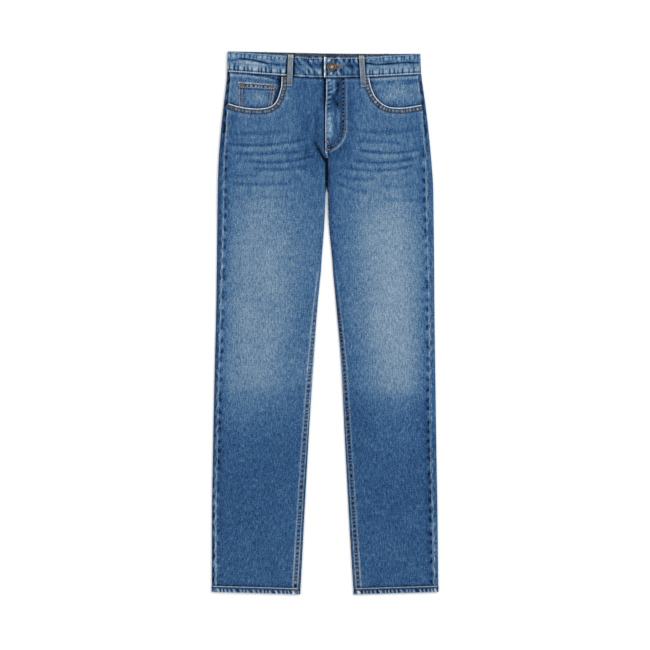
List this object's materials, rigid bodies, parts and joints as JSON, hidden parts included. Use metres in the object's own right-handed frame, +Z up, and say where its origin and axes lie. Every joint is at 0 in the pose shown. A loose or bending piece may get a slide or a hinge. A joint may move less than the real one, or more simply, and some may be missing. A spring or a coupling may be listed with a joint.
{
  "type": "slim fit jeans",
  "caption": "Slim fit denim jeans laid flat, front up: straight legs, buttoned waistband with belt loops, curved front pockets and a coin pocket.",
  "frame": {"origin": "on the surface the jeans lie on, under the middle of their overall box", "axes": "+Y along the jeans from the hems to the waistband, +X to the wearer's left, +Z up out of the fronts"},
  "size_m": [0.4376, 1.0472, 0.0119],
  "materials": {
    "denim": "stone-washed mid-blue twill",
    "facing_denim": "paler washed twill",
    "loop_denim": "twill worn to grey along its edges",
    "antique_copper": "antique copper, burnished on the rim",
    "zip_metal": "dull metal teeth on cotton tape"
  },
  "bodies": {
    "root": {"front_right": "denim", "front_left": "denim", "back_right": "denim", "back_left": "denim", "yoke_right": "denim", "yoke_left": "denim", "hem_right": "denim", "hem_left": "denim", "back_pocket_right": "denim", "back_pocket_left": "denim", "waistband": "denim", "fly_shield": "denim", "pocket_facing_right": "facing_denim", "pocket_facing_left": "facing_denim", "coin_pocket": "facing_denim", "belt_loop_front_right": "loop_denim", "belt_loop_front_left": "loop_denim", "belt_loop_back_right": "loop_denim", "belt_loop_back_middle": "loop_denim", "belt_loop_back_left": "loop_denim", "waist_button": "antique_copper", "fly_zip": "zip_metal"}
  },
  "joints": []
}
